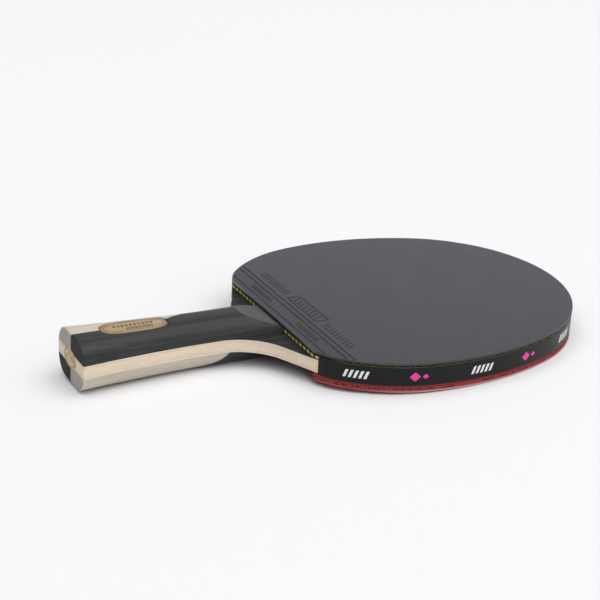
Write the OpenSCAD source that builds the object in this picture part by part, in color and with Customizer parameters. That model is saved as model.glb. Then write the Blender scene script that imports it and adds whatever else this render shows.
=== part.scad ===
// Table tennis paddle: a five-ply blade with a rubber on each face, edge tape and a flared two-tone handle.
// The paddle lies along X with its head towards +X, its front rubber faces +Z, and the blade's middle plane
// is Z = 0. Lengths below count from the throat line, where the lower edge of the rubbers crosses the handle.

/* [Blade] */
// Length of the head from the throat line to the tip
head_len = 157; // [152:0.5:162]
// Width of the head
head_w = 150; // [147:0.5:153]
// Thickness of the whole blade
blade_t = 6.2; // [5.6:0.1:6.8]
// Thickness of each outer ply
outer_ply_t = 0.6; // [0.4:0.1:0.8]
// Thickness of each inner ply
inner_ply_t = 0.7; // [0.5:0.1:1]
// Radius of the tip
tip_r = 70.5; // [70:0.5:71]
// Radius of the cheeks, below the widest part
cheek_r = 68; // [66:0.5:71]
// Radius of the rounded corners at the lower end of the head
corner_r = 29; // [25:1:33]
// Radius of the hollows between the shoulders and the handle
throat_r = 27; // [23:1:31]

/* [Handle] */
// Length of the handle from the throat line to the butt
handle_len = 99.5; // [95:0.5:105]
// Width of the handle at its narrowest
neck_w = 24; // [22:0.5:26]
// Width of the handle at the butt
butt_w = 33; // [30:0.2:35]
// Thickness of the handle
handle_t = 23.7; // [22:0.1:26]
// Distance of the narrowest place from the throat line
neck_back = 36; // [32:1:42]
// Rounding of the edge around the butt
butt_round = 0.8; // [0.4:0.1:2]
// Distance from the throat line to where the ramp leaves the crown of the handle
ramp_len = 18; // [15:0.5:22]
// Height of the ramp's lower end above the blade's middle plane
ramp_end = 5.9; // [5:0.1:7]
// Distance from the throat line to where the joint between the two woods turns aside
mitre_back = 58; // [55:0.5:70]
// Angle of that turned joint to the handle
mitre_angle = 21; // [18:0.5:30]

/* [Rubbers] */
// Thickness of the sponge
sponge_t = 1.9; // [1.5:0.1:2.2]
// Height of the pimples
pimple_h = 1; // [0.8:0.1:1.2]
// Thickness of the top sheet over the pimples
sheet_t = 1; // [0.8:0.1:1.2]
// Thickness of the glue film
glue_t = 0.1; // [0.1:0.05:0.2]
// Distance of the rubbers' lower edge from the throat line
rubber_start = 0.2; // [0:0.1:2]
// How far the top sheets stand proud of the blade's edge
sheet_proud = 0.25; // [0.2:0.05:0.4]
// Width of the open band around the pimples at the edge
pimple_band = 1.6; // [1.2:0.1:2.4]

/* [Edge tape] */
// Width of the tape
tape_w = 8.8; // [8:0.1:9]
// Thickness of the tape
tape_t = 0.2; // [0.1:0.05:0.2]
// How far the middle of the tape lies towards the front
tape_shift = 0.6; // [0:0.1:0.6]
// Distance of the tape's ends from the throat line
tape_start = 1.4; // [0.4:0.1:4]

/* [Badges] */
// Length of the badge on the handle
lens_len = 32; // [28:0.5:36]
// Width of the badge on the handle
lens_w = 12.5; // [9:0.5:13]
// Distance of its middle from the throat line
lens_back = 69.5; // [66:0.5:74]
// Height of its flat top above the blade's middle plane
lens_top = 11.6; // [10.6:0.1:12]
// Thickness of the badge on the handle
lens_t = 1.4; // [1:0.1:2]
// Gap around it in its pocket
lens_gap = 0.4; // [0.2:0.1:0.5]
// Width of the badge on the butt
butt_badge_w = 16; // [12:0.5:18]
// Height of the badge on the butt
butt_badge_h = 9; // [6.6:0.2:10]
// How far the badge on the butt lies towards the far side
butt_badge_side = 1; // [-2:0.5:2]
// Thickness of the badge on the butt
butt_badge_t = 0.6; // [0.4:0.1:1]

/* [Hidden] */

// The angle, from +X, of the outward normal where each arc of the head gives way to the next
tip_end = 67;
side_end = 99;
cheek_end = 134.5;
shoulder_normal = 154.5;
arc_step = 2.5;

// Centres of the head's arcs, each on the line through the end of the arc before it
side_r = (head_w / 2 - tip_r * sin(tip_end)) / (1 - sin(tip_end));
tip_c = [head_len - tip_r, 0];
side_c = tip_c + (tip_r - side_r) * ray(tip_end);
cheek_c = side_c + (side_r - cheek_r) * ray(side_end);
corner_c = cheek_c + (cheek_r - corner_r) * ray(cheek_end);

// The handle's sides are shallow arcs, closest at neck_back
flare_run = handle_len - neck_back;
flare_r = arc_over(flare_run, (butt_w - neck_w) / 2);
flare_c = [-neck_back, neck_w / 2 + flare_r];

// The hollow between shoulder and handle touches the straight shoulder and the handle's arc
shoulder_top = corner_c + corner_r * ray(shoulder_normal);
shoulder_dir = ray(shoulder_normal + 90);
hollow_line = shoulder_top + throat_r * ray(shoulder_normal) - flare_c;
hollow_b = hollow_line * shoulder_dir;
hollow_run = -hollow_b + sqrt(hollow_b ^ 2 - hollow_line * hollow_line + (flare_r - throat_r) ^ 2);
throat_c = shoulder_top + throat_r * ray(shoulder_normal) + hollow_run * shoulder_dir;
throat_end = bearing(throat_c - flare_c);
flare_end = 270 - asin((flare_run - butt_round) / flare_r);

// Heights of the layers above the middle plane
core_top = blade_t / 2 - outer_ply_t - inner_ply_t;
inner_top = blade_t / 2 - outer_ply_t;
blade_top = blade_t / 2;
glue_top = blade_top + glue_t;
sponge_top = glue_top + sponge_t;
pimple_top = sponge_top + pimple_h;
sheet_top = pimple_top + sheet_t;

// The handle's section is a superellipse that meets the blade's edge at the glue line, rounder at the neck
neck_crown = 2.8;
butt_crown = 5;
neck_side = 2.05;
butt_side = 1.8;
lens_power = 3;
oval_step = 6;
section_points = 33;
body_stations = 36;
round_stations = 7;
scale_gap = 0.3;
reach = 400;

// Whole paddle is centred on the middle of its length
overall_shift = -(head_len + sheet_proud - handle_len) / 2;

function ray(a) = [cos(a), sin(a)];
function bearing(v) = (atan2(v.y, v.x) + 360) % 360;
function arc_over(run, rise) = (run ^ 2 + rise ^ 2) / (2 * rise);
function arc_points(c, r, a, b) =
    let (n = max(2, ceil(abs(b - a) / arc_step)))
    [for (i = [0:n]) c + r * ray(a + (b - a) * i / n)];
function mirrored(points) = [for (i = [len(points) - 1:-1:0]) [points[i].x, -points[i].y]];
function superellipse(l, w, p) =
    [for (a = [0:oval_step:359])
        [l / 2 * sign(cos(a)) * abs(cos(a)) ^ (2 / p), w / 2 * sign(sin(a)) * abs(sin(a)) ^ (2 / p)]];

// Distance that the butt's rounded edge takes off the handle at x
function butt_cut(x) =
    let (d = max(0, butt_round - (x + handle_len)))
    butt_round - sqrt(butt_round ^ 2 - d ^ 2);
function half_w(x) = flare_c.y - sqrt(flare_r ^ 2 - (x + neck_back) ^ 2) - butt_cut(x);
function half_t(x) = handle_t / 2 - butt_cut(x);
function towards_butt(x) = min(1, max(0, (-neck_back - x) / flare_run));

// Far half of the blade's edge from tip to butt, moved outwards by grow
function blade_half(grow) = concat(
    arc_points(tip_c, tip_r + grow, 0, tip_end),
    arc_points(side_c, side_r + grow, tip_end, side_end),
    arc_points(cheek_c, cheek_r + grow, side_end, cheek_end),
    arc_points(corner_c, corner_r + grow, cheek_end, shoulder_normal),
    arc_points(throat_c, throat_r - grow, shoulder_normal + 180, throat_end),
    arc_points(flare_c, flare_r - grow, throat_end, flare_end),
    [for (x = round_xs()) [x, half_w(x)]]
);
function round_xs() =
    [for (k = [round_stations - 1:-1:0]) -handle_len + butt_round * (1 - cos(90 * k / round_stations))];
function body_xs() =
    [for (i = [0:body_stations])
        -handle_len + butt_round + (handle_len - butt_round - scale_gap) * i / body_stations];
function stations() = concat([for (i = [round_stations - 1:-1:0]) round_xs()[i]], body_xs());

// Points of the handle's section at x, from the near edge of the blade over the crown to the far edge
function section(x) =
    let (
        t = half_t(x),
        crown = neck_crown + (butt_crown - neck_crown) * towards_butt(x),
        side = neck_side + (butt_side - neck_side) * towards_butt(x),
        w = half_w(x) / (1 - (blade_top / t) ^ side) ^ (1 / crown),
        start = asin((blade_top / t) ^ (side / 2))
    )
    [for (i = [0:section_points])
        let (a = 180 - start - (180 - 2 * start) * i / section_points)
        [x, w * sign(cos(a)) * abs(cos(a)) ^ (2 / crown), t * sin(a) ^ (2 / side)]];

module placed() {
    translate([overall_shift, 0, 0]) children();
}

module slab(low, high) {
    translate([0, 0, low]) linear_extrude(high - low) children();
}

module blade_outline(grow = 0) {
    far_half = blade_half(grow);
    near_half = mirrored(far_half);
    polygon(concat(far_half, [for (i = [0:len(near_half) - 2]) near_half[i]]));
}

module rubber_outline(grow = 0, back_edge = rubber_start) {
    intersection() {
        blade_outline(grow);
        translate([back_edge, -reach / 2]) square(reach);
    }
}

module butt_pocket(depth) {
    translate([-handle_len - 1, butt_badge_side, 0])
        rotate([90, 0, 90])
            linear_extrude(depth + 1) polygon(superellipse(butt_badge_w, butt_badge_h, 2));
}

module ply(low, high) {
    placed() difference() {
        slab(low, high) blade_outline();
        butt_pocket(butt_badge_t);
    }
}

module lens_outline(grow = 0) {
    translate([-lens_back, 0]) polygon(superellipse(lens_len + 2 * grow, lens_w + 2 * grow, lens_power));
}

// One side of the handle before it is divided, lying on the front of the blade
module scale_blank() {
    xs = stations();
    rings = [for (x = xs) section(x)];
    n = section_points + 1;
    last = (len(xs) - 1) * n;
    points = [for (ring = rings) each ring];
    walls = [for (i = [0:len(xs) - 2], j = [0:n - 1])
        let (a = i * n + j, b = i * n + (j + 1) % n)
        each [[a, b, a + n], [b, b + n, a + n]]];
    caps = [[for (j = [n - 1:-1:0]) j], [for (j = [0:n - 1]) last + j]];
    difference() {
        polyhedron(points, concat(walls, caps));
        ramp_waste();
    }
}

// What the ramp at the throat takes away
module ramp_waste() {
    slope = atan((handle_t / 2 - ramp_end) / ramp_len);
    translate([0, 0, ramp_end])
        rotate([0, slope, 0])
            translate([-reach / 8, -reach / 8, 0]) cube([reach / 4, reach / 4, reach / 8]);
}

// Plan of the light wood: the far half of a front scale, ending in a slanting joint at the neck
module light_plan() {
    mitre_run = butt_w / tan(mitre_angle);
    polygon([
        [-handle_len - 1, 0],
        [-mitre_back, 0],
        [-mitre_back + mitre_run, butt_w],
        [-handle_len - 1, butt_w]
    ]);
}

module light_scale() {
    intersection() {
        scale_blank();
        slab(0, handle_t) light_plan();
    }
}

module dark_scale() {
    difference() {
        scale_blank();
        slab(0, handle_t) light_plan();
    }
}

module lens_pocket() {
    slab(lens_top - lens_t, handle_t) lens_outline(lens_gap);
}

module topsheet() {
    slab(pimple_top, sheet_top) rubber_outline(sheet_proud);
    slab(sponge_top, pimple_top) rubber_outline(-pimple_band, rubber_start + pimple_band);
}

// Turns a piece made for the front over the handle's own line to the back
module turned_over() {
    rotate([180, 0, 0]) children();
}

module core_ply() {
    color("burlywood") ply(-core_top, core_top);
}

module front_inner_ply() {
    color("wheat") ply(core_top, inner_top);
}

module back_inner_ply() {
    color("wheat") ply(-inner_top, -core_top);
}

module front_outer_ply() {
    color("bisque") ply(inner_top, blade_top);
}

module back_outer_ply() {
    color("bisque") ply(-blade_top, -inner_top);
}

module front_dark_scale() {
    color("darkslategray") placed() difference() {
        dark_scale();
        lens_pocket();
        butt_pocket(butt_badge_t);
    }
}

module front_light_scale() {
    color("antiquewhite") placed() difference() {
        light_scale();
        lens_pocket();
        butt_pocket(butt_badge_t);
    }
}

module back_dark_scale() {
    color("darkslategray") placed() difference() {
        turned_over() dark_scale();
        butt_pocket(butt_badge_t);
    }
}

module back_light_scale() {
    color("antiquewhite") placed() difference() {
        turned_over() light_scale();
        butt_pocket(butt_badge_t);
    }
}

module handle_lens() {
    color("tan") placed() slab(lens_top - lens_t, lens_top) lens_outline();
}

module butt_badge() {
    color("khaki") placed() intersection() {
        butt_pocket(butt_badge_t);
        translate([-handle_len, -reach / 2, -reach / 2]) cube(reach);
    }
}

module front_glue_film() {
    color("ivory") placed() slab(blade_top, glue_top) rubber_outline();
}

module front_sponge() {
    color("gold") placed() slab(glue_top, sponge_top) rubber_outline();
}

module front_topsheet() {
    color([0.15, 0.15, 0.16]) placed() topsheet();
}

module back_glue_film() {
    color("ivory") placed() turned_over() slab(blade_top, glue_top) rubber_outline();
}

module back_sponge() {
    color("indianred") placed() turned_over() slab(glue_top, sponge_top) rubber_outline();
}

module back_topsheet() {
    color("firebrick") placed() turned_over() topsheet();
}

module edge_tape() {
    color([0.1, 0.1, 0.1]) placed() slab(tape_shift - tape_w / 2, tape_shift + tape_w / 2)
        difference() {
            rubber_outline(tape_t, tape_start);
            blade_outline();
        }
}

core_ply();
front_inner_ply();
back_inner_ply();
front_outer_ply();
back_outer_ply();
front_dark_scale();
front_light_scale();
back_dark_scale();
back_light_scale();
handle_lens();
butt_badge();
front_glue_film();
front_sponge();
front_topsheet();
back_glue_film();
back_sponge();
back_topsheet();
edge_tape();
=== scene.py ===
"""Dresses the table tennis paddle.

Adds wood, rubber and tape finishes, the pimples that show at the edges of the rubbers, moulded ridges,
marks on the tape and on the handle's badge, and a studio like the photograph's.
"""

import math

import bpy
from mathutils import Matrix, Vector


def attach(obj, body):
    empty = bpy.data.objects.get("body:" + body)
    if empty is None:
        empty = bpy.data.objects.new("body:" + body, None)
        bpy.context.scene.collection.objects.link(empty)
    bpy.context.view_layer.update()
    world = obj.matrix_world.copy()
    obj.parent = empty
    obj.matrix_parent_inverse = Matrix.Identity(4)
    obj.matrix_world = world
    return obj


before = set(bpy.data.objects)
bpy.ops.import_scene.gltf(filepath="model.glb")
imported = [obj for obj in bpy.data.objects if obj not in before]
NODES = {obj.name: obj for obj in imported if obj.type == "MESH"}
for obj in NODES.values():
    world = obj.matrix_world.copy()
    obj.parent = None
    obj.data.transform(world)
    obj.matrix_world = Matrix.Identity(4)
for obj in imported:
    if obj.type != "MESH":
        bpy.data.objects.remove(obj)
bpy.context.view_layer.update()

MM = 0.001
# Lengths of the shape are in millimetres from the throat line, as in the part's source.
# SHIFT takes them to the frame
SHIFT = -28.875

# Head outline: its size, the radii of its arcs, and the angle at which each arc ends
HEAD_LEN, HEAD_W = 157.0, 150.0
TIP_R, CHEEK_R, CORNER_R = 70.5, 68.0, 29.0
TIP_END, SIDE_END, CHEEK_END, SHOULDER = 67.0, 99.0, 134.5, 154.5
# Length of the straight shoulder, of which only a part is kept
SHOULDER_RUN = 20.0
# Degrees times millimetres in one step of an arc
ARC_STEP = 60

# Layers of a rubber, as heights above the blade's middle plane
SPONGE_TOP, PIMPLE_TOP, SHEET_TOP = 5.1, 6.1, 7.1
# Lower edge of the rubbers
RUBBER_START = 0.2

# Edge tape: its thickness, its two edges as heights, and where its ends lie
TAPE_OUT, TAPE_LOW, TAPE_HIGH, TAPE_START = 0.2, -3.8, 5.0, 1.4

# Badge on the handle, a superellipse of the given power
LENS_X, LENS_LEN, LENS_W, LENS_TOP, LENS_POWER = -69.5, 32.0, 12.5, 11.6, 3.0

# Badge on the butt: its middle, width and height
BUTT_BADGE_Y, BUTT_BADGE_W, BUTT_BADGE_H = 1.0, 16.0, 9.0

# Camera, found from the photograph
CAM_AZIMUTH, CAM_ELEVATION, CAM_ROLL = -28.32, 23.07, 3.47
CAM_PLACE = (-0.36683, -0.65496, 0.32896)
CAM_LENS, CAM_SENSOR = 102.42, 36

# The paddle lies on the back of its handle, where the ramp starts, and on the near side of its head.
# These are a point of the floor, and how much the floor rises along X and Y
FLOOR_PLACE, FLOOR_RISE = (-18.0, 0.0, -11.915), (0.015, -0.042)


# Outlines and pieces


def ray(degrees):
    a = math.radians(degrees)
    return Vector((math.cos(a), math.sin(a)))


def head_arcs():
    """Centre, radius and the two end angles of each arc of the far half of the head, from the tip back."""
    tip_rise = math.sin(math.radians(TIP_END))
    side_r = (HEAD_W / 2 - TIP_R * tip_rise) / (1 - tip_rise)
    tip_c = Vector((HEAD_LEN - TIP_R, 0))
    side_c = tip_c + (TIP_R - side_r) * ray(TIP_END)
    cheek_c = side_c + (side_r - CHEEK_R) * ray(SIDE_END)
    corner_c = cheek_c + (CHEEK_R - CORNER_R) * ray(CHEEK_END)
    return [
        (tip_c, TIP_R, 0, TIP_END),
        (side_c, side_r, TIP_END, SIDE_END),
        (cheek_c, CHEEK_R, SIDE_END, CHEEK_END),
        (corner_c, CORNER_R, CHEEK_END, SHOULDER),
    ]


def head_half(grow, back_edge):
    """Points of the far half of the head, moved outwards by grow, down to the line x = back_edge."""
    points = []
    for centre, radius, a, b in head_arcs():
        steps = max(2, math.ceil((b - a) * radius / ARC_STEP))
        points += [centre + (radius + grow) * ray(a + (b - a) * i / steps) for i in range(steps + 1)]
    points.append(points[-1] + SHOULDER_RUN * ray(SHOULDER + 90))
    kept = [p for p in points if p.x > back_edge]
    a, b = kept[-1], points[len(kept)]
    return kept + [a + (b - a) * ((back_edge - a.x) / (b.x - a.x))]


def head_outline(grow, back_edge):
    far = head_half(grow, back_edge)
    return far + [Vector((p.x, -p.y)) for p in reversed(far)]


def inside(p, outline):
    found = False
    for a, b in zip(outline, outline[1:] + outline[:1]):
        if (a.y > p.y) != (b.y > p.y) and p.x < a.x + (p.y - a.y) / (b.y - a.y) * (b.x - a.x):
            found = not found
    return found


# Corners of a smooth piece that are sharper than this stay sharp
CORNER_ANGLE = 60
# Points of a mesh that are nearer than this are one point
JOIN_GAP = 0.002


def mesh_piece(name, verts, faces, material, slot, smooth=False, thickness=None):
    """A new piece of the paddle from points in millimetres. A flat one is made a solid, thickness deep."""
    mesh = bpy.data.meshes.new(name)
    mesh.from_pydata([((x + SHIFT) * MM, y * MM, z * MM) for x, y, z in verts], [], faces)
    mesh.validate()
    if smooth:
        mesh.shade_smooth()
        mesh.set_sharp_from_angle(angle=math.radians(CORNER_ANGLE))
    mesh.materials.append(material)
    piece = bpy.data.objects.new(name, mesh)
    bpy.context.scene.collection.objects.link(piece)
    if thickness:
        piece.modifiers.new("joined", "WELD").merge_threshold = JOIN_GAP * MM
        solid = piece.modifiers.new("solid", "SOLIDIFY")
        solid.thickness = thickness * MM
        solid.offset = -1
    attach(piece, "root")
    return piece


# Shader nodes


def add(tree, kind, inputs=None, **settings):
    """A node; each input is a value, or another node's socket to link."""
    node = tree.nodes.new(kind)
    for key, value in settings.items():
        setattr(node, key, value)
    for key, value in (inputs or {}).items():
        if isinstance(value, bpy.types.NodeSocket):
            tree.links.new(value, node.inputs[key])
        else:
            node.inputs[key].default_value = value
    return node


def ramp(tree, factor, stops):
    """Colours, or greys given as one number, spread along a factor."""
    node = add(tree, "ShaderNodeValToRGB", {"Fac": factor})
    band = node.color_ramp.elements
    while len(band) < len(stops):
        band.new(0.5)
    for element, (place, colour) in zip(band, stops):
        element.position = place
        element.color = (*colour, 1) if isinstance(colour, tuple) else (colour, colour, colour, 1)
    return node.outputs["Color"]


def math_node(tree, operation, *values):
    return add(tree, "ShaderNodeMath", dict(enumerate(values)), operation=operation).outputs[0]


def spread(tree, value, low, high):
    """0 where value is low, 1 where it is high, with a soft change between; low may be the larger one."""
    return add(
        tree,
        "ShaderNodeMapRange",
        {"Value": value, "From Min": low, "From Max": high},
        interpolation_type="SMOOTHSTEP",
    ).outputs["Result"]


def spread_mm(tree, value, low, high):
    """As spread, between two heights or widths in millimetres."""
    return spread(tree, value, low * MM, high * MM)


def spread_along(tree, x, low, high):
    """As spread, between two places along the paddle."""
    return spread_mm(tree, x, low + SHIFT, high + SHIFT)


def blend(tree, factor, a, b, mode="MIX"):
    node = add(tree, "ShaderNodeMix", data_type="RGBA", blend_type=mode)
    for index, value in ((0, factor), (6, a), (7, b)):
        if isinstance(value, bpy.types.NodeSocket):
            tree.links.new(value, node.inputs[index])
        else:
            node.inputs[index].default_value = (*value, 1) if isinstance(value, tuple) else value
    return node.outputs[2]


def place(tree, scale):
    """Coordinates in the paddle's own frame, stretched by scale."""
    coords = add(tree, "ShaderNodeTexCoord").outputs["Object"]
    return add(tree, "ShaderNodeMapping", {"Vector": coords, "Scale": scale}).outputs["Vector"]


def axes(tree):
    """The three coordinates in the paddle's own frame, in metres."""
    coords = add(tree, "ShaderNodeTexCoord")
    return add(tree, "ShaderNodeSeparateXYZ", {"Vector": coords.outputs["Object"]}).outputs


def noise(tree, scale, detail=4.0, rough=0.55, distort=0.0):
    inputs = {
        "Vector": place(tree, scale),
        "Scale": 1.0,
        "Detail": detail,
        "Roughness": rough,
        "Distortion": distort,
    }
    return add(tree, "ShaderNodeTexNoise", inputs).outputs["Fac"]


def cells(tree, scale):
    """Distance from the middle of small round cells."""
    inputs = {"Vector": place(tree, scale), "Scale": 1.0}
    return add(tree, "ShaderNodeTexVoronoi", inputs).outputs["Distance"]


def oval(tree, parts, power):
    """1 on the rim of a superellipse and less inside it.

    parts holds, for each of its two directions, the offset from its middle and its half size.
    """
    terms = []
    for offset, half in parts:
        share = math_node(tree, "ABSOLUTE", math_node(tree, "DIVIDE", offset, half * MM))
        terms.append(math_node(tree, "POWER", share, power))
    return math_node(tree, "ADD", *terms)


def facing_along(tree, axis, low, high):
    """1 where the surface faces along an axis of the paddle, 0 where it lies along it."""
    coords = add(tree, "ShaderNodeTexCoord")
    parts = add(tree, "ShaderNodeSeparateXYZ", {"Vector": coords.outputs["Normal"]})
    return spread(tree, math_node(tree, "ABSOLUTE", parts.outputs[axis]), low, high)


# Finishes

# Where a noise gives the first and the second of two roughnesses
SMOOTH_AT, ROUGH_AT = 0.3, 0.7


def new_material(name, **values):
    material = bpy.data.materials.new(name)
    material.use_nodes = True
    tree = material.node_tree
    shader = tree.nodes["Principled BSDF"]
    for key, value in values.items():
        shader.inputs[key.replace("_", " ")].default_value = value
    return material, tree, shader


def paint(tree, shader, colour):
    tree.links.new(colour, shader.inputs["Base Color"])


def gloss(tree, factor, roughness):
    """Roughness that follows a noise from the first to the second of two values."""
    return ramp(tree, factor, [(SMOOTH_AT, roughness[0]), (ROUGH_AT, roughness[1])])


def polish(tree, shader, roughness):
    tree.links.new(roughness, shader.inputs["Roughness"])


def bump(tree, shader, height, depth_mm, strength=1.0):
    node = add(tree, "ShaderNodeBump", {"Height": height, "Strength": strength, "Distance": depth_mm * MM})
    tree.links.new(node.outputs["Normal"], shader.inputs["Normal"])


def wood_colour(tree, stops, along, across, fibre_share=0.4, fineness=9):
    """Grain that runs along X where along is small, in bands with fine fibres in them."""
    bands = noise(tree, (along, across, across), detail=6.0, rough=0.6, distort=0.6)
    fibres = noise(tree, (along * 3, across * fineness, across * fineness), detail=3.0, rough=0.7)
    return ramp(tree, blend(tree, fibre_share, bands, fibres), stops), fibres


# Wood that is cut across: the scales of its rings and pores, the share of the pores, and its roughness
RING_SCALE, PORE_SCALE = (40, 1500, 160), (40, 3800, 3800)
PORE_SHARE, END_ROUGHNESS = 0.45, (0.95, 0.95, 0.95)
# How squarely a face looks along X where it begins to count as cut across, and where it fully does
CUT_BEGINS, CUT_FULL = 0.75, 0.9


def wood(
    name,
    stops,
    along,
    across,
    roughness=(0.5, 0.62),
    depth=0.02,
    end_stops=None,
    fineness=9,
    **values,
):
    """Lacquered wood; where it is cut across, at its ends along X, the grain shows as rings."""
    material, tree, shader = new_material(name, **values)
    colour, fibres = wood_colour(tree, stops, along, across, fineness=fineness)
    shine = gloss(tree, fibres, roughness)
    if end_stops:
        rings = noise(tree, RING_SCALE, detail=4.0, rough=0.6, distort=0.4)
        pores = noise(tree, PORE_SCALE, detail=2.0, rough=0.6)
        end = ramp(tree, blend(tree, PORE_SHARE, rings, pores), end_stops)
        cut_across = facing_along(tree, "X", CUT_BEGINS, CUT_FULL)
        colour = blend(tree, cut_across, colour, end)
        shine = blend(tree, cut_across, shine, END_ROUGHNESS)
    paint(tree, shader, colour)
    polish(tree, shader, shine)
    bump(tree, shader, fibres, depth_mm=depth)
    return material


def stained_ply(name, stops, stain):
    """A veneer with a dark stain on its face and bare wood on its edge."""
    material, tree, shader = new_material(name, Specular_IOR_Level=0.25)
    edge, fibres = wood_colour(tree, stops, 14.0, 300.0)
    face, _ = wood_colour(tree, stain, 14.0, 420.0)
    paint(tree, shader, blend(tree, facing_along(tree, "Z", 0.6, 0.8), edge, face))
    polish(tree, shader, gloss(tree, fibres, (0.45, 0.6)))
    bump(tree, shader, fibres, depth_mm=0.02)
    return material


# The moulded strip along the lower edge of a rubber: where it ends, how softly, and the scale of its dots
STRIP_END, STRIP_SOFT, DOT_SCALE = 13.3, 0.3, (1100, 1100, 1)
# Where the painted highlight on the outer rim of a rubber begins and is full, along the paddle and in height
RIM_LIGHT_START, RIM_LIGHT_FULL = 10.0, 45.0
RIM_LIGHT_LOW, RIM_LIGHT_HIGH = PIMPLE_TOP + 0.1, SHEET_TOP - 0.3
# How far from the lower edge its painted light or shade begins, and where it is full
EDGE_BEGINS, EDGE_FULL = 0.2, 0.1


def lower_cut(tree):
    """1 on the straight lower edge of a rubber, which faces the handle, 0 elsewhere."""
    return spread_along(tree, axes(tree)["X"], RUBBER_START + EDGE_BEGINS, RUBBER_START + EDGE_FULL)


def rubber(name, dark, light, strip_shade, roughness, painted_cut_shading=None, painted_rim_light=None):
    """Moulded rubber, faintly cloudy, with fine dots in the strip along its lower edge.

    Its lower edge may be painted lighter or darker, as painted light or shade, and the outer rim of its
    sides given a painted highlight of the floor.
    """
    material, tree, shader = new_material(name, Specular_IOR_Level=0.4)
    cloud = noise(tree, (90, 90, 90), detail=5.0, rough=0.6)
    grain = noise(tree, (2600, 2600, 2600), detail=2.0, rough=0.5)
    base = ramp(tree, cloud, [(0.3, dark), (0.7, light)])
    x, _, z = axes(tree)
    strip = spread_along(tree, x, STRIP_END + STRIP_SOFT, STRIP_END - STRIP_SOFT)
    dotted = math_node(tree, "MULTIPLY", strip, spread(tree, cells(tree, DOT_SCALE), 0.55, 0.25))
    shaded = math_node(tree, "MULTIPLY_ADD", dotted, 0.5, math_node(tree, "MULTIPLY", strip, 0.5))
    colour = blend(tree, 1.0, base, ramp(tree, shaded, [(0.0, 1.0), (1.0, strip_shade)]), "MULTIPLY")
    # The outer rim gets a painted highlight of the bright floor, growing towards the tip.
    if painted_rim_light:
        outer = spread_mm(tree, math_node(tree, "ABSOLUTE", z), RIM_LIGHT_LOW, RIM_LIGHT_HIGH)
        sideways = math_node(tree, "SUBTRACT", 1.0, facing_along(tree, "Z", 0.4, 0.8))
        towards_tip = spread_along(tree, x, RIM_LIGHT_START, RIM_LIGHT_FULL)
        share = math_node(tree, "MULTIPLY", math_node(tree, "MULTIPLY", outer, sideways), towards_tip)
        colour = blend(tree, share, colour, painted_rim_light)
    # The lower edge's colour is painted light or shade, not the rubber's own colour.
    if painted_cut_shading:
        colour = blend(tree, lower_cut(tree), colour, painted_cut_shading)
    paint(tree, shader, colour)
    polish(tree, shader, gloss(tree, cloud, roughness))
    relief = math_node(tree, "MULTIPLY_ADD", dotted, 3.0, grain)
    bump(tree, shader, relief, depth_mm=0.01, strength=0.5)
    return material


# Spacing of the pimples along a row
FRONT_PITCH, BACK_PITCH = 2.2, 1.25

# Beaded foam: the heights between which its painted lit belt rises and falls off again into painted shade
BELT_RISE, BELT_FALL = (3.4, 4.1), (5.3, 4.4)
# The painted lit brim along its top: where it begins and is full along the paddle, its heights, and how
# strongly it is lit
BRIM_START, BRIM_FULL, BRIM_RISE, BRIM_SHARE = 3.0, 8.0, (4.8, 5.0), 0.3


def painted_bead_light(tree):
    """How lit beaded foam is painted: 0, painted shade, low down by the blade and high up under the pimples;
    lit in a belt broken into beads at the pimples' pitch, and faintly along its brim.
    """
    x, y, z = axes(tree)
    height = math_node(tree, "ABSOLUTE", z)
    belt = math_node(
        tree,
        "MULTIPLY",
        spread_mm(tree, height, *BELT_RISE),
        spread_mm(tree, height, *BELT_FALL),
    )
    waves = [
        math_node(tree, "COSINE", math_node(tree, "MULTIPLY", value, 2 * math.pi / (pitch * MM)))
        for value, pitch in ((y, FRONT_PITCH * math.sqrt(3)), (x, FRONT_PITCH))
    ]
    beads = spread(tree, math_node(tree, "MULTIPLY_ADD", waves[1], 0.35, waves[0]), -0.7, 0.5)
    brim = math_node(
        tree,
        "MULTIPLY",
        math_node(tree, "MULTIPLY", spread_along(tree, x, BRIM_START, BRIM_FULL), BRIM_SHARE),
        spread_mm(tree, height, *BRIM_RISE),
    )
    return math_node(tree, "MAXIMUM", math_node(tree, "MULTIPLY", belt, beads), brim)


def sponge(name, dark, light, bead_shading, painted_cut_shading=None):
    """Fine open foam; where asked, with painted light and shade in beads along its edge, and with its lower
    edge painted as for a rubber.
    """
    material, tree, shader = new_material(name, Roughness=0.95, Specular_IOR_Level=0.2)
    pores = cells(tree, (1500, 1500, 1500))
    lit = spread(tree, pores, 0.0, 0.4)
    if bead_shading:
        # The beads and belt are painted light and shade over the foam's own yellow.
        lit = math_node(tree, "MULTIPLY", painted_bead_light(tree), lit)
    colour = ramp(tree, lit, [(0.0, dark), (0.8, light)])
    # The lower edge's colour is painted shade.
    if painted_cut_shading:
        colour = blend(tree, lower_cut(tree), colour, painted_cut_shading)
    paint(tree, shader, colour)
    bump(tree, shader, pores, depth_mm=0.15)
    return material


def tape_finish():
    material, tree, shader = new_material("tape_finish", Specular_IOR_Level=0.22)
    weave = noise(tree, (900, 900, 900), detail=3.0, rough=0.6)
    cloud = noise(tree, (70, 70, 70), detail=3.0, rough=0.5)
    dark, light = (0.004, 0.0042, 0.0047), (0.0065, 0.0068, 0.0074)
    paint(tree, shader, ramp(tree, cloud, [(0.35, dark), (0.65, light)]))
    polish(tree, shader, gloss(tree, weave, (0.3, 0.42)))
    bump(tree, shader, weave, depth_mm=0.012)
    return material


def ink(name, dark, light, speck_scale=1800):
    material, tree, shader = new_material(name, Roughness=0.45)
    speck = noise(tree, (speck_scale, speck_scale, speck_scale), detail=3.0, rough=0.6)
    paint(tree, shader, ramp(tree, speck, [(0.3, dark), (0.6, light)]))
    return material


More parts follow.
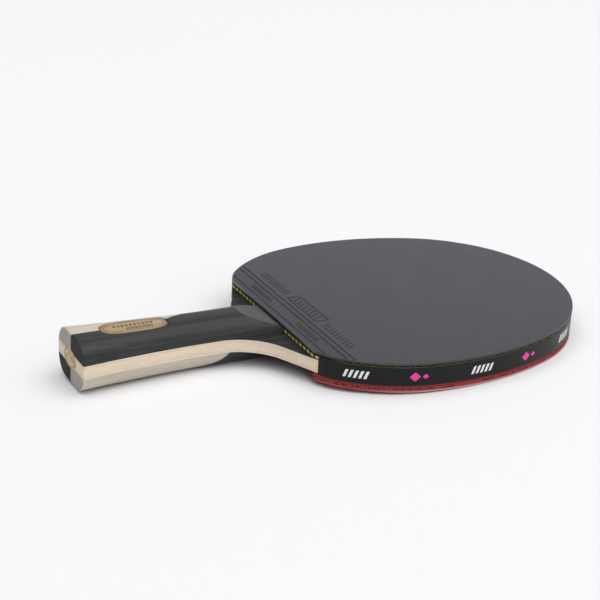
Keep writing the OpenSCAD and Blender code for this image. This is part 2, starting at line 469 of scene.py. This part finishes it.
def glue_film():
    material, tree, shader = new_material("glue_film", Roughness=0.6)
    patches = noise(tree, (400, 400, 400), detail=4.0, rough=0.6)
    dark, light = (0.06, 0.05, 0.02), (0.16, 0.13, 0.06)
    paint(tree, shader, ramp(tree, patches, [(0.3, dark), (0.7, light)]))
    return material


# Stops of the woods' and the gilt's colours
EDGE_WOOD = [(0.3, (0.609, 0.494, 0.389)), (0.5, (0.714, 0.609, 0.494)), (0.7, (0.777, 0.683, 0.578))]
CORE_WOOD = [(0.3, (0.62, 0.5, 0.36)), (0.5, (0.72, 0.6, 0.45)), (0.7, (0.77, 0.66, 0.52))]
INNER_WOOD = [(0.3, (0.52, 0.42, 0.32)), (0.5, (0.64, 0.53, 0.42)), (0.7, (0.7, 0.6, 0.5))]
PALE_WOOD = [(0.3, (0.4, 0.348, 0.278)), (0.5, (0.522, 0.47, 0.392)), (0.7, (0.583, 0.531, 0.461))]
PALE_END = [(0.35, (0.239, 0.23, 0.212)), (0.5, (0.368, 0.35, 0.322)), (0.65, (0.442, 0.414, 0.386))]
DARK_WOOD = [(0.38, (0.008, 0.009, 0.0088)), (0.5, (0.0175, 0.0195, 0.0188)), (0.62, (0.03, 0.0325, 0.031))]
DARK_END = [(0.35, (0.012, 0.0123, 0.013)), (0.5, (0.028, 0.0283, 0.03)), (0.65, (0.048, 0.0485, 0.051))]
LENS_WOOD = [(0.3, (0.229, 0.158, 0.088)), (0.5, (0.378, 0.29, 0.176)), (0.7, (0.475, 0.378, 0.246))]
GILT = [(0.38, (0.25, 0.18, 0.065)), (0.55, (0.55, 0.45, 0.22)), (0.7, (0.66, 0.57, 0.33))]
# The badge's rim colour is painted shade of its recess; the toasted colour is its burnt marks.
TOASTED, RIM_SHADE, GILT_LINE = (0.33, 0.2, 0.095), (0.15, 0.1, 0.05), (0.3, 0.22, 0.09)


def lens_finish():
    """Pale wood, toasted in patches, with painted shade along its rim where it meets its recess."""
    material, tree, shader = new_material("lens_wood", Specular_IOR_Level=0.3)
    grain, fibres = wood_colour(tree, LENS_WOOD, 40.0, 420.0)
    patches = spread(tree, noise(tree, (110, 260, 260), detail=4.0, rough=0.6, distort=0.5), 0.45, 0.68)
    x, y, _ = axes(tree)
    along = math_node(tree, "SUBTRACT", x, (LENS_X + SHIFT) * MM)
    # The rim is darkened as painted shade of the recess around the badge.
    rim = spread(tree, oval(tree, ((along, LENS_LEN / 2), (y, LENS_W / 2)), LENS_POWER), 0.72, 1.0)
    paint(tree, shader, blend(tree, rim, blend(tree, patches, grain, TOASTED), RIM_SHADE))
    polish(tree, shader, gloss(tree, fibres, (0.5, 0.62)))
    bump(tree, shader, fibres, depth_mm=0.03)
    return material


def gilt():
    """Worn gilt with a darker line inside its rim."""
    material, tree, shader = new_material("gilt", Metallic=0.2)
    _, y, z = axes(tree)
    across = math_node(tree, "SUBTRACT", y, BUTT_BADGE_Y * MM)
    out = math_node(tree, "SQRT", oval(tree, ((across, BUTT_BADGE_W / 2), (z, BUTT_BADGE_H / 2)), 2.0))
    mottle = noise(tree, (900, 700, 700), detail=4.0, rough=0.7)
    line = ramp(tree, out, [(0.72, 0.0), (0.78, 1.0), (0.84, 0.0)])
    paint(tree, shader, blend(tree, line, ramp(tree, mottle, GILT), GILT_LINE))
    polish(tree, shader, gloss(tree, mottle, (0.6, 0.4)))
    bump(tree, shader, mottle, depth_mm=0.05)
    return material


finishes = {
    "core_ply": wood("core_edge", CORE_WOOD, 12.0, 420.0),
    "inner_ply": wood("inner_edge", INNER_WOOD, 300.0, 300.0),
    "outer_ply": stained_ply("stained_veneer", EDGE_WOOD, DARK_WOOD),
    "dark": wood(
        "dark_scale",
        DARK_WOOD,
        along=9.0,
        across=520.0,
        roughness=(0.38, 0.52),
        depth=0.03,
        end_stops=DARK_END,
        fineness=3,
        Specular_IOR_Level=0.36,
    ),
    "light": wood(
        "light_scale",
        PALE_WOOD,
        along=12.0,
        across=300.0,
        roughness=(0.42, 0.55),
        end_stops=PALE_END,
        Specular_IOR_Level=0.35,
    ),
    "lens": lens_finish(),
    "gilt": gilt(),
    "glue": glue_film(),
    # The yellow foam's dark colour is painted shade; its light colour is the lit foam.
    "front_sponge": sponge("yellow_foam", (0.035, 0.03, 0.006), (0.52, 0.45, 0.18), bead_shading=True),
    "back_sponge": sponge(
        "red_foam",
        (0.1, 0.014, 0.016),
        (0.2, 0.035, 0.038),
        bead_shading=False,
        # Its lower edge is painted in shade, under the blade.
        painted_cut_shading=(0.05, 0.01, 0.012),
    ),
    "black": rubber(
        "black_sheet",
        (0.029, 0.0306, 0.0376),
        (0.033, 0.0348, 0.0426),
        strip_shade=0.68,
        roughness=(0.33, 0.41),
        # Its lower edge is painted lighter: a painted highlight.
        painted_cut_shading=(0.105, 0.107, 0.108),
    ),
    # The relief copies of the rubbers are darker: painted shade on the ridges and on the front pimples.
    "shaded_black_relief": rubber(
        "shaded_black_relief",
        (0.012, 0.0125, 0.015),
        (0.018, 0.0185, 0.022),
        strip_shade=0.9,
        roughness=(0.45, 0.55),
    ),
    "red": rubber(
        "red_sheet",
        (0.29, 0.04, 0.046),
        (0.34, 0.048, 0.054),
        strip_shade=0.75,
        roughness=(0.42, 0.5),
        # Its lower edge is painted in shade, under the blade.
        painted_cut_shading=(0.06, 0.01, 0.012),
        # Its rim colour is a painted highlight of the bright floor.
        painted_rim_light=(0.46, 0.31, 0.3),
    ),
    "shaded_red_relief": rubber(
        "shaded_red_relief",
        (0.2, 0.024, 0.028),
        (0.24, 0.03, 0.034),
        strip_shade=0.9,
        roughness=(0.45, 0.55),
    ),
    "tape": tape_finish(),
}

NODE_FINISH = {
    "core_ply": "core_ply",
    "front_inner_ply": "inner_ply",
    "back_inner_ply": "inner_ply",
    "front_outer_ply": "outer_ply",
    "back_outer_ply": "outer_ply",
    "front_dark_scale": "dark",
    "back_dark_scale": "dark",
    "front_light_scale": "light",
    "back_light_scale": "light",
    "handle_lens": "lens",
    "butt_badge": "gilt",
    "front_glue_film": "glue",
    "back_glue_film": "glue",
    "front_sponge": "front_sponge",
    "back_sponge": "back_sponge",
    "front_topsheet": "black",
    "back_topsheet": "red",
    "edge_tape": "tape",
}

# Faces of a solid that meet at a larger angle than this keep a sharp edge between them
SHARP_ANGLE = 15

# Width in millimetres of the soft edge on the pieces that have one, and how it is made
SOFT_EDGE = {"front_topsheet": 0.12, "back_topsheet": 0.12, "handle_lens": 0.3}
SOFT_SEGMENTS, SOFT_ANGLE = 3, 50


def soft_shading(limit_deg):
    """A modifier's node group: joins the solid's faces and shades it smoothly except at its corners."""
    group = bpy.data.node_groups.new("soft_shading", "GeometryNodeTree")
    group.interface.new_socket("Geometry", in_out="INPUT", socket_type="NodeSocketGeometry")
    group.interface.new_socket("Geometry", in_out="OUTPUT", socket_type="NodeSocketGeometry")
    start, end = add(group, "NodeGroupInput"), add(group, "NodeGroupOutput")
    strip = add(
        group,
        "GeometryNodeRemoveAttribute",
        {"Geometry": start.outputs[0], "Name": "custom_normal"},
    )
    joined = add(
        group,
        "GeometryNodeMergeByDistance",
        {"Geometry": strip.outputs[0], "Distance": JOIN_GAP * MM},
    )
    smooth = add(
        group,
        "GeometryNodeSetShadeSmooth",
        {"Geometry": joined.outputs[0], "Shade Smooth": True},
    )
    angle = add(group, "GeometryNodeInputMeshEdgeAngle")
    corner = add(
        group,
        "FunctionNodeCompare",
        {"A": angle.outputs["Unsigned Angle"], "B": math.radians(limit_deg)},
        operation="GREATER_THAN",
    )
    sharp = add(
        group,
        "GeometryNodeSetShadeSmooth",
        {"Geometry": smooth.outputs[0], "Selection": corner.outputs[0], "Shade Smooth": False},
        domain="EDGE",
    )
    group.links.new(sharp.outputs[0], end.inputs[0])
    return group


def dress_solids():
    shading = soft_shading(SHARP_ANGLE)
    for name, finish in NODE_FINISH.items():
        solid = NODES[name]
        solid.data.materials.clear()
        solid.data.materials.append(finishes[finish])
        solid.modifiers.new("soft_shading", "NODES").node_group = shading
        if name in SOFT_EDGE:
            edge = solid.modifiers.new("soft_edge", "BEVEL")
            edge.width = SOFT_EDGE[name] * MM
            edge.segments = SOFT_SEGMENTS
            edge.limit_method = "ANGLE"
            edge.angle_limit = math.radians(SOFT_ANGLE)
            edge.harden_normals = True


# Pimples at the edge of a rubber

# Radii of a pimple at its tip, on the sponge, and at its root
FRONT_RADII, BACK_RADII = (0.78, 0.95), (0.5, 0.57)
PIMPLE_SIDES = 12
# Width of the band along the edge in which the pimples are made
PIMPLE_BAND = 1.9
# How far inside the edge a pimple is cut off, and how far inside it its middle has to lie
CUT_INSET, MIDDLE_INSET = 0.02, 0.1
# A point outside the edge is drawn in by this share at a time, down to the least radius
DRAW_IN, LEAST_RADIUS = 0.9, 0.05


def pimples(name, side, pitch, radii, material, slot):
    """The outermost pimples of a rubber, cut off where its edge passes through them.

    side is 1 in front, -1 behind.
    """
    edge = head_outline(-CUT_INSET, RUBBER_START + CUT_INSET)
    keep = head_outline(-MIDDLE_INSET, RUBBER_START + MIDDLE_INSET)
    covered = head_outline(-PIMPLE_BAND, RUBBER_START + PIMPLE_BAND)
    first = RUBBER_START + radii[0] / 2
    row_step = pitch * math.sqrt(3) / 2
    rows = math.ceil(HEAD_W / 2 / row_step)
    verts, faces = [], []
    for row in range(-rows, rows + 1):
        for column in range(math.ceil(HEAD_LEN / pitch) + 1):
            centre = Vector((first + pitch * (column + 0.5 * (row % 2)), row * row_step))
            if not inside(centre, keep) or inside(centre, covered):
                continue
            base = len(verts)
            for radius, height in zip(radii, (SPONGE_TOP, PIMPLE_TOP)):
                for k in range(PIMPLE_SIDES):
                    out = radius * ray(360 * k / PIMPLE_SIDES)
                    while not inside(centre + out, edge) and out.length > LEAST_RADIUS:
                        out *= DRAW_IN
                    p = centre + out
                    verts.append((p.x, p.y * side, height * side))
            ring = range(PIMPLE_SIDES)
            for k in ring:
                n = (k + 1) % PIMPLE_SIDES
                faces.append((base + k, base + n, base + PIMPLE_SIDES + n, base + PIMPLE_SIDES + k))
            faces.append(tuple(base + k for k in reversed(ring)))
            faces.append(tuple(base + PIMPLE_SIDES + k for k in ring))
    return mesh_piece(name, verts, faces, material, slot)


# Moulded ridges near the lower edge of a rubber

RIDGE_H = 0.22
# Section of a ridge, as shares of its width and height; its foot lies just under the face
RIDGE_SECTION = ((-0.5, -0.02), (-0.32, 0.75), (0.0, 1.0), (0.32, 0.75), (0.5, -0.02))
# The least cosine that widens a ridge at its corners
LEAST_TURN = 0.5


def ridge(verts, faces, path, width, side, closed=False):
    """A low rounded ridge along a path on the face of a rubber."""
    base, n, count = len(verts), len(RIDGE_SECTION), len(path)
    for i, p in enumerate(path):
        before = path[i - 1] if closed or i else p
        after = path[(i + 1) % count] if closed or i < count - 1 else p
        a, b = (p - before), (after - p)
        a = a.normalized() if a.length else b.normalized()
        b = b.normalized() if b.length else a
        across = Vector((-(a + b).y, (a + b).x)).normalized()
        stretch = 1 / max(LEAST_TURN, across.dot(Vector((-a.y, a.x))))
        for offset, height in RIDGE_SECTION:
            q = p + across * (offset * width * stretch)
            verts.append((q.x, q.y * side, (SHEET_TOP + height * RIDGE_H) * side))
    for i in range(count if closed else count - 1):
        here, there = base + i * n, base + ((i + 1) % count) * n
        for k in range(n):
            after = (k + 1) % n
            faces.append((here + k, there + k, there + after, here + after))
    if not closed:
        faces.append(tuple(base + k for k in range(n)))
        faces.append(tuple(base + (count - 1) * n + k for k in reversed(range(n))))


# Each line along the lower edge: its place, how far it reaches to each side, and its width
RIDGE_LINES = ((3.5, 49.0, 0.5), (10.3, 56.5, 0.6), (13.3, 58.5, 0.6))
# Plain frame over the lines: its lower and upper side, how far it reaches to each side, and its width
FRAME_LOW, FRAME_HIGH, FRAME_REACH, FRAME_W = 16.0, 22.6, 15.0, 0.55
# Rows of slanting bars, in the frame, beside it and between the lines: the lower and upper end of the bars,
# the first bar's place across the head, the step, the count and the width of a bar
BAR_ROWS = (
    (17.4, 21.2, -11.2, 3.2, 8, 0.9),
    (16.4, 20.4, -45.5, 2.8, 10, 0.8),
    (16.4, 20.4, 20.3, 2.8, 10, 0.8),
    (5.6, 8.2, -34.0, 1.5, 14, 0.55),
    (5.6, 8.2, 14.5, 1.5, 14, 0.55),
)
BAR_LEAN = 2.0


def moulded_ridges(name, side, material, slot):
    """Three lines along the lower edge, a plain frame and rows of short bars."""
    verts, faces = [], []
    for x, reach, width in RIDGE_LINES:
        ridge(verts, faces, [Vector((x, -reach)), Vector((x, reach))], width, side)
    frame_path = [
        Vector((FRAME_LOW, -FRAME_REACH)),
        Vector((FRAME_HIGH, -FRAME_REACH)),
        Vector((FRAME_HIGH, FRAME_REACH)),
        Vector((FRAME_LOW, FRAME_REACH)),
    ]
    ridge(verts, faces, frame_path, FRAME_W, side, closed=True)
    for low, high, start, step, count, width in BAR_ROWS:
        for k in range(count):
            y = start + step * k
            bar = [Vector((low, y - BAR_LEAN / 2)), Vector((high, y + BAR_LEAN / 2))]
            ridge(verts, faces, bar, width, side)
    return mesh_piece(name, verts, faces, material, slot, smooth=True)


# Marks printed on the tape

TAPE_MID = (TAPE_LOW + TAPE_HIGH) / 2
MARK_STEP = 0.7
# How far the face of a mark stands off the piece under it, and how deep the mark is
MARK_LIFT, MARK_DEPTH = 0.02, 0.018


def tape_path():
    """Points along the outside of the tape from its near end round the tip to its far end."""
    far = head_half(TAPE_OUT + MARK_LIFT, TAPE_START)
    return [Vector((p.x, -p.y)) for p in reversed(far)] + far[1:]


def along_tape(path, distance):
    for a, b in zip(path, path[1:]):
        step = (b - a).length
        if distance <= step:
            return a + (b - a) * (distance / step)
        distance -= step
    return path[-1]


def tape_mark(verts, faces, path, start, end, span):
    """A mark on the tape from start to end, whose lower and upper edge span gives at each place."""
    steps = max(2, math.ceil((end - start) / MARK_STEP))
    base = len(verts)
    for i in range(steps + 1):
        s = start + (end - start) * i / steps
        p = along_tape(path, s)
        for z in span(s):
            verts.append((p.x, p.y, TAPE_MID + z))
    for i in range(steps):
        a = base + 2 * i
        faces.append((a, a + 2, a + 3, a + 1))


def slanting_bar(start, width, lean, half_h):
    """Lower and upper edge of a bar that leans along the tape."""
    slope = 2 * half_h / lean

    def span(s):
        low = max(-half_h, -half_h + (s - start - width) * slope)
        high = min(half_h, -half_h + (s - start) * slope)
        return low, max(low, high)

    return span


def diamond(middle, half_w, half_h):
    """Lower and upper edge of a diamond on the tape."""

    def span(s):
        rise = half_h * max(0.0, 1 - abs(s - middle) / half_w)
        return -rise, rise

    return span


# The pattern of the tape: where its bars lie in each repeat, and the middle and half sizes of its diamonds
TAPE_REPEAT = 61.0
BAR_W, MARK_LEAN, BAR_HALF_H = 1.3, 1.4, 1.9
BAR_PLACES = (12.0, 14.4, 16.8, 19.2, 21.6)
DIAMONDS = ((45.0, 2.7, 2.3), (50.0, 1.5, 1.3))


def tape_marks():
    path = tape_path()
    length = sum((b - a).length for a, b in zip(path, path[1:]))
    white, pink = ([], []), ([], [])
    for i in range(int(length // TAPE_REPEAT)):
        at = TAPE_REPEAT * i
        for bar_place in BAR_PLACES:
            start = at + bar_place
            bar = slanting_bar(start, BAR_W, MARK_LEAN, BAR_HALF_H)
            tape_mark(*white, path, start, start + BAR_W + MARK_LEAN, bar)
        for offset, half_w, half_h in DIAMONDS:
            middle = at + offset
            shape = diamond(middle, half_w, half_h)
            tape_mark(*pink, path, middle - half_w, middle + half_w, shape)
    white_ink = ink("white_ink", (0.62, 0.62, 0.62), (0.8, 0.8, 0.8))
    pink_ink = ink("pink_ink", (0.6, 0.02, 0.24), (0.78, 0.045, 0.34))
    mesh_piece("tape_bars", *white, white_ink, "tape", thickness=MARK_DEPTH)
    mesh_piece("tape_diamonds", *pink, pink_ink, "tape", thickness=MARK_DEPTH)


# Marks burnt into the badge on the handle

# A thin oval line: how far its outer and inner edge lie inside the rim, and the steps around it
LINE_OUTER, LINE_INNER, OVAL_STEPS = 1.5, 1.85, 72
LOZENGE = ((-0.85, 0), (0, -1.4), (0.85, 0), (0, 1.4))
TICK = ((-0.55, -1.4), (0.0, -1.4), (0.55, 1.4), (0.0, 1.4))
# Rows of marks: the first one's place along the badge from its middle, the step, the count, the place across
# the badge, and the shape
BURNT_ROWS = ((-9.0, 2.0, 10, 1.5, LOZENGE), (-4.0, 1.1, 12, -2.1, TICK))


def lens_oval(inset):
    """Points of the badge's oval, drawn in by inset."""
    points = []
    for k in range(OVAL_STEPS):
        out = ray(360 * k / OVAL_STEPS)
        x, y = (math.copysign(abs(v) ** (2 / LENS_POWER), v) for v in out)
        points.append(Vector((LENS_X + (LENS_LEN / 2 - inset) * x, (LENS_W / 2 - inset) * y)))
    return points


def burnt_marks():
    """A thin oval line, a row of lozenges and a row of ticks."""
    top = LENS_TOP + MARK_LIFT
    verts = [(p.x, p.y, top) for p in lens_oval(LINE_OUTER) + lens_oval(LINE_INNER)]
    faces = []
    for k in range(OVAL_STEPS):
        n = (k + 1) % OVAL_STEPS
        faces.append((k, n, OVAL_STEPS + n, OVAL_STEPS + k))
    for first, step, count, y, shape in BURNT_ROWS:
        for k in range(count):
            base, middle = len(verts), LENS_X + first + step * k
            verts += [(middle + x, y + rise, top) for x, rise in shape]
            faces.append(tuple(range(base, base + len(shape))))
    burnt = ink("burnt_wood", (0.03, 0.015, 0.008), (0.12, 0.06, 0.028), 700)
    return mesh_piece("lens_marks", verts, faces, burnt, "badge_wood", thickness=MARK_DEPTH)


# Studio

# Half the floor's width in metres, and its two shades
FLOOR_HALF = 3.0
FLOOR_DARK, FLOOR_LIGHT = (0.77, 0.77, 0.775), (0.785, 0.785, 0.79)


def build_floor():
    """A wide pale floor through the places where the paddle touches it."""
    mesh = bpy.data.meshes.new("floor")
    corners = [(x * FLOOR_HALF, y * FLOOR_HALF, 0) for x, y in ((-1, -1), (1, -1), (1, 1), (-1, 1))]
    mesh.from_pydata(corners, [], [(0, 1, 2, 3)])
    floor = bpy.data.objects.new("floor", mesh)
    bpy.context.scene.collection.objects.link(floor)
    x, y, z = FLOOR_PLACE
    upright = Vector((-FLOOR_RISE[0], -FLOOR_RISE[1], 1))
    turn = upright.to_track_quat("Z", "Y").to_matrix().to_4x4()
    floor.matrix_world = Matrix.Translation(((x + SHIFT) * MM, y * MM, z * MM)) @ turn
    material, tree, shader = new_material("paper_floor", Roughness=0.9, Specular_IOR_Level=0.1)
    fibres = noise(tree, (900, 900, 900), detail=3.0, rough=0.6)
    paint(tree, shader, ramp(tree, fibres, [(0.3, FLOOR_DARK), (0.7, FLOOR_LIGHT)]))
    mesh.materials.append(material)


# Light of the room from every side, and its colour
ROOM_LIGHT, SKY_COLOUR = 0.2, (1.0, 1.0, 1.01, 1)
# The soft lights: each one's direction, its strength, and how near to that direction it starts and is full
SOFT_LIGHTS = (
    ((-0.1, -0.2, 0.97), 1.75, 0.5, 0.95),
    ((0.8, -0.6, 0.0), 0.5, -0.2, 0.6),
    ((0.47, 0.88, 0.0), 0.9, 0.84, 1.0),
)
# A weak lamp overhead that is aimed at the paddle: its place and size in metres, and its power
LAMP_PLACE, LAMP_SIZE, LAMP_POWER = (0.5, -0.6, 1.7), 1.6, 3


def build_lights():
    world = bpy.data.worlds.new("studio")
    world.use_nodes = True
    tree = world.node_tree
    towards = add(tree, "ShaderNodeTexCoord").outputs["Generated"]
    strength = ROOM_LIGHT
    for axis, power, low, high in SOFT_LIGHTS:
        dot = add(tree, "ShaderNodeVectorMath", {0: towards, 1: axis}, operation="DOT_PRODUCT")
        share = spread(tree, dot.outputs["Value"], low, high)
        strength = math_node(tree, "MULTIPLY_ADD", share, power, strength)
    sky = tree.nodes["Background"]
    sky.inputs["Color"].default_value = SKY_COLOUR
    tree.links.new(strength, sky.inputs["Strength"])
    bpy.context.scene.world = world
    data = bpy.data.lights.new("overhead", "AREA")
    data.shape = "RECTANGLE"
    data.size = data.size_y = LAMP_SIZE
    data.energy = LAMP_POWER
    lamp = bpy.data.objects.new("overhead", data)
    lamp.location = LAMP_PLACE
    lamp.rotation_euler = (-Vector(LAMP_PLACE)).to_track_quat("-Z", "Y").to_euler()
    bpy.context.scene.collection.objects.link(lamp)


def build_camera():
    azimuth, elevation, roll = (math.radians(v) for v in (CAM_AZIMUTH, CAM_ELEVATION, CAM_ROLL))
    away = math.cos(elevation)
    back = Vector((math.sin(azimuth) * away, -math.cos(azimuth) * away, math.sin(elevation)))
    level = Vector((math.cos(azimuth), math.sin(azimuth), 0))
    rise = back.cross(level)
    right = level * math.cos(roll) + rise * math.sin(roll)
    up = rise * math.cos(roll) - level * math.sin(roll)
    data = bpy.data.cameras.new("camera")
    data.lens = CAM_LENS
    data.sensor_width = CAM_SENSOR
    camera = bpy.data.objects.new("camera", data)
    camera.matrix_world = Matrix.Translation(CAM_PLACE) @ Matrix((right, up, back)).transposed().to_4x4()
    bpy.context.scene.collection.objects.link(camera)
    bpy.context.scene.camera = camera


dress_solids()
pimples("front_pimples", 1, FRONT_PITCH, FRONT_RADII, finishes["shaded_black_relief"], "black_rubber")
pimples("back_pimples", -1, BACK_PITCH, BACK_RADII, finishes["red"], "red_rubber")
moulded_ridges("front_ridges", 1, finishes["shaded_black_relief"], "black_rubber")
moulded_ridges("back_ridges", -1, finishes["shaded_red_relief"], "red_rubber")
tape_marks()
burnt_marks()
build_floor()
build_lights()
build_camera()
bpy.context.scene.view_settings.view_transform = "Standard"
